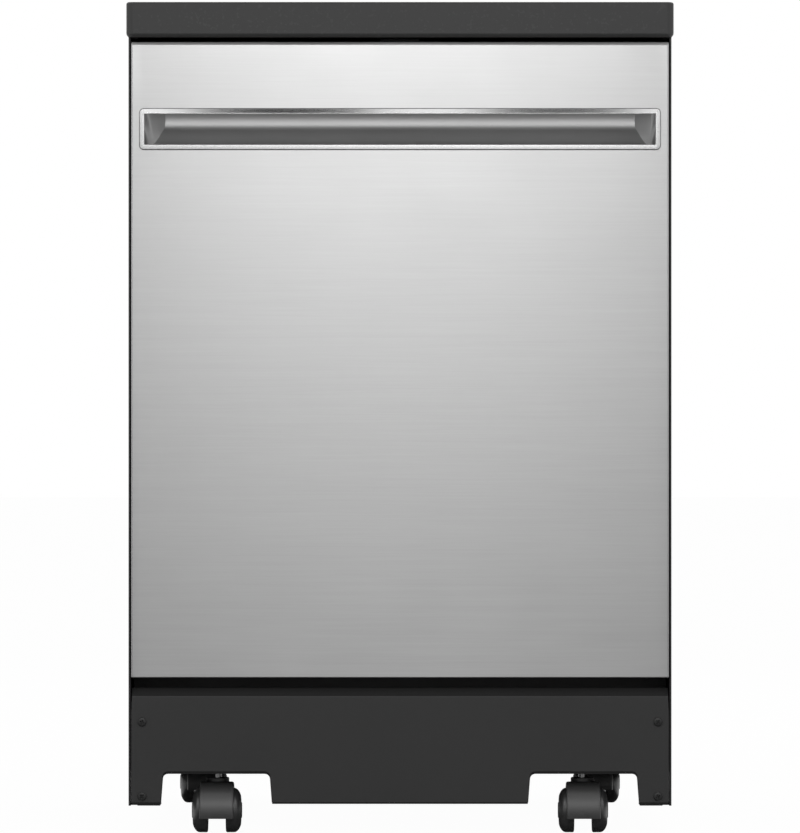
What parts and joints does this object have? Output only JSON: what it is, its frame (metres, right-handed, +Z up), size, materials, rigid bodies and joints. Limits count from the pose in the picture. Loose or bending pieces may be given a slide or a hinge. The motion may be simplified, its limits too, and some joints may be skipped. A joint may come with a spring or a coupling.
{
  "type": "portable dishwasher",
  "caption": "Free-standing dishwasher on swivel casters, with a dark worktop, a brushed steel door that swings down on a recessed full-width handle, and a black kick plate.",
  "frame": {"origin": "on the floor, under the middle of the worktop", "axes": "+Z up, the door faces -Y, +X to the right as seen from the front"},
  "size_m": [0.62, 0.686, 0.942],
  "materials": {
    "worktop_laminate": "dark grey laminate on particle board, satin",
    "black_steel": "black enamel, satin",
    "base_steel": "black paint, matt",
    "black_screw": "black oxide",
    "tub_steel": "bright stainless steel",
    "gasket_rubber": "matt",
    "dark_plastic": "moulded, matt",
    "light_plastic": "moulded, matt",
    "grey_plastic": "moulded, satin",
    "heater_metal": "dark sheathed element",
    "zinc_steel": "zinc plated",
    "rack_coating": "vinyl coated wire",
    "door_steel": "horizontally brushed stainless steel",
    "bezel_chrome": "polished",
    "pocket_metal": "silver grey, satin",
    "button_plastic": "moulded",
    "lens_clear": "tinted",
    "caster_plastic": "moulded, satin",
    "caster_steel": "zinc plated",
    "caster_tread": "hard tread, satin"
  },
  "bodies": {
    "cabinet": {"worktop": "worktop_laminate", "side_panel_left": "black_steel", "side_panel_right": "black_steel", "rear_panel": "black_steel", "hose_bay": "dark_plastic", "base_frame": "base_steel", "kick_plate": "black_steel", "panel_screws": "black_screw", "tub": "tub_steel", "door_gasket": "gasket_rubber", "sump": "dark_plastic", "filter": "grey_plastic", "circulation_pump": "dark_plastic", "drain_pump": "dark_plastic", "inlet_valve": "light_plastic", "heating_element": "heater_metal", "spray_tower": "grey_plastic", "rack_rails": "tub_steel", "latch_strike": "zinc_steel", "hinge_brackets": "zinc_steel", "hinge_pins": "zinc_steel", "door_springs": "zinc_steel"},
    "float": {"float_dome": "light_plastic"},
    "lower_arm": {"lower_spray_arm": "grey_plastic"},
    "middle_arm": {"middle_spray_arm": "grey_plastic"},
    "upper_arm": {"upper_spray_arm": "grey_plastic"},
    "upper_rack_body": {"upper_rack": "rack_coating"},
    "lower_rack_body": {"lower_rack": "rack_coating", "rack_wheels": "grey_plastic", "cutlery_basket": "grey_plastic"},
    "door": {"door_skin": "door_steel", "handle_bezel": "bezel_chrome", "handle_pocket": "pocket_metal", "door_liner": "tub_steel", "control_panel": "dark_plastic", "indicator_lens": "lens_clear", "hinge_arms": "zinc_steel", "detergent_cup": "grey_plastic"},
    "cycle_button_body": {"cycle_button": "button_plastic"},
    "dry_button_body": {"dry_button": "button_plastic"},
    "start_button_body": {"start_button": "button_plastic"},
    "dispenser_lid_body": {"dispenser_lid": "grey_plastic"},
    "rinse_cap_body": {"rinse_cap": "grey_plastic"},
    "latch_bolt_body": {"latch_bolt": "zinc_steel"},
    "front_left_swivel": {"front_left_hood": "caster_plastic", "front_left_pins": "caster_steel"},
    "front_left_roller_a": {"front_left_wheel_a": "caster_tread"},
    "front_left_roller_b": {"front_left_wheel_b": "caster_tread"},
    "front_right_swivel": {"front_right_hood": "caster_plastic", "front_right_pins": "caster_steel"},
    "front_right_roller_a": {"front_right_wheel_a": "caster_tread"},
    "front_right_roller_b": {"front_right_wheel_b": "caster_tread"},
    "rear_left_swivel": {"rear_left_hood": "caster_plastic", "rear_left_pins": "caster_steel"},
    "rear_left_roller_a": {"rear_left_wheel_a": "caster_tread"},
    "rear_left_roller_b": {"rear_left_wheel_b": "caster_tread"},
    "rear_right_swivel": {"rear_right_hood": "caster_plastic", "rear_right_pins": "caster_steel"},
    "rear_right_roller_a": {"rear_right_wheel_a": "caster_tread"},
    "rear_right_roller_b": {"rear_right_wheel_b": "caster_tread"}
  },
  "joints": [
    {"name": "door_hinge", "type": "hinge", "parent": "cabinet", "child": "door", "pos_m": [0, -0.298, 0.212], "axis": [1, 0, 0], "range_deg": [0, 90], "stiffness_Nm_per_rad": 20},
    {"name": "float_lift", "type": "slide", "parent": "cabinet", "child": "float", "axis": [0, 0, 1], "range_m": [0, 0.008]},
    {"name": "lower_arm_turn", "type": "hinge", "parent": "cabinet", "child": "lower_arm", "pos_m": [0, -0.012, 0.23], "axis": [0, 0, 1], "continuous": true},
    {"name": "middle_arm_turn", "type": "hinge", "parent": "upper_rack_body", "child": "middle_arm", "pos_m": [0, -0.012, 0.52], "axis": [0, 0, 1], "continuous": true},
    {"name": "upper_arm_turn", "type": "hinge", "parent": "cabinet", "child": "upper_arm", "pos_m": [0, -0.012, 0.85], "axis": [0, 0, 1], "continuous": true},
    {"name": "upper_rack_slide", "type": "slide", "parent": "cabinet", "child": "upper_rack_body", "axis": [0, -1, 0], "range_m": [0, 0.01]},
    {"name": "lower_rack_slide", "type": "slide", "parent": "cabinet", "child": "lower_rack_body", "axis": [0, -1, 0], "range_m": [0, 0.01]},
    {"name": "dispenser_lid_slide", "type": "slide", "parent": "door", "child": "dispenser_lid_body", "axis": [1, 0, 0], "range_m": [0, 0.062]},
    {"name": "rinse_cap_turn", "type": "hinge", "parent": "door", "child": "rinse_cap_body", "pos_m": [0.071, -0.27, 0.555], "axis": [0, 1, 0], "range_deg": [0, 90]},
    {"name": "latch_bolt_press", "type": "slide", "parent": "door", "child": "latch_bolt_body", "axis": [0, 0, -1], "range_m": [0, 0.003], "stiffness_N_per_m": 400, "springref_m": -0.001},
    {"name": "cycle_press", "type": "slide", "parent": "door", "child": "cycle_button_body", "axis": [0, 0, -1], "range_m": [0, 0.0012], "stiffness_N_per_m": 300, "springref_m": -0.0005},
    {"name": "dry_press", "type": "slide", "parent": "door", "child": "dry_button_body", "axis": [0, 0, -1], "range_m": [0, 0.0012], "stiffness_N_per_m": 300, "springref_m": -0.0005},
    {"name": "start_press", "type": "slide", "parent": "door", "child": "start_button_body", "axis": [0, 0, -1], "range_m": [0, 0.0012], "stiffness_N_per_m": 300, "springref_m": -0.0005},
    {"name": "front_left_turn", "type": "hinge", "parent": "cabinet", "child": "front_left_swivel", "pos_m": [-0.208, -0.288, 0.06], "axis": [0, 0, 1], "continuous": true},
    {"name": "front_left_roll_a", "type": "hinge", "parent": "front_left_swivel", "child": "front_left_roller_a", "pos_m": [-0.208, -0.308, 0.0254], "axis": [1, 0, 0], "continuous": true},
    {"name": "front_left_roll_b", "type": "hinge", "parent": "front_left_swivel", "child": "front_left_roller_b", "pos_m": [-0.208, -0.308, 0.0254], "axis": [1, 0, 0], "continuous": true},
    {"name": "front_right_turn", "type": "hinge", "parent": "cabinet", "child": "front_right_swivel", "pos_m": [0.208, -0.288, 0.06], "axis": [0, 0, 1], "continuous": true},
    {"name": "front_right_roll_a", "type": "hinge", "parent": "front_right_swivel", "child": "front_right_roller_a", "pos_m": [0.208, -0.308, 0.0254], "axis": [1, 0, 0], "continuous": true},
    {"name": "front_right_roll_b", "type": "hinge", "parent": "front_right_swivel", "child": "front_right_roller_b", "pos_m": [0.208, -0.308, 0.0254], "axis": [1, 0, 0], "continuous": true},
    {"name": "rear_left_turn", "type": "hinge", "parent": "cabinet", "child": "rear_left_swivel", "pos_m": [-0.2405, 0.273, 0.06], "axis": [0, 0, 1], "continuous": true},
    {"name": "rear_left_roll_a", "type": "hinge", "parent": "rear_left_swivel", "child": "rear_left_roller_a", "pos_m": [-0.2405, 0.253, 0.0254], "axis": [1, 0, 0], "continuous": true},
    {"name": "rear_left_roll_b", "type": "hinge", "parent": "rear_left_swivel", "child": "rear_left_roller_b", "pos_m": [-0.2405, 0.253, 0.0254], "axis": [1, 0, 0], "continuous": true},
    {"name": "rear_right_turn", "type": "hinge", "parent": "cabinet", "child": "rear_right_swivel", "pos_m": [0.2405, 0.273, 0.06], "axis": [0, 0, 1], "continuous": true},
    {"name": "rear_right_roll_a", "type": "hinge", "parent": "rear_right_swivel", "child": "rear_right_roller_a", "pos_m": [0.2405, 0.253, 0.0254], "axis": [1, 0, 0], "continuous": true},
    {"name": "rear_right_roll_b", "type": "hinge", "parent": "rear_right_swivel", "child": "rear_right_roller_b", "pos_m": [0.2405, 0.253, 0.0254], "axis": [1, 0, 0], "continuous": true}
  ]
}
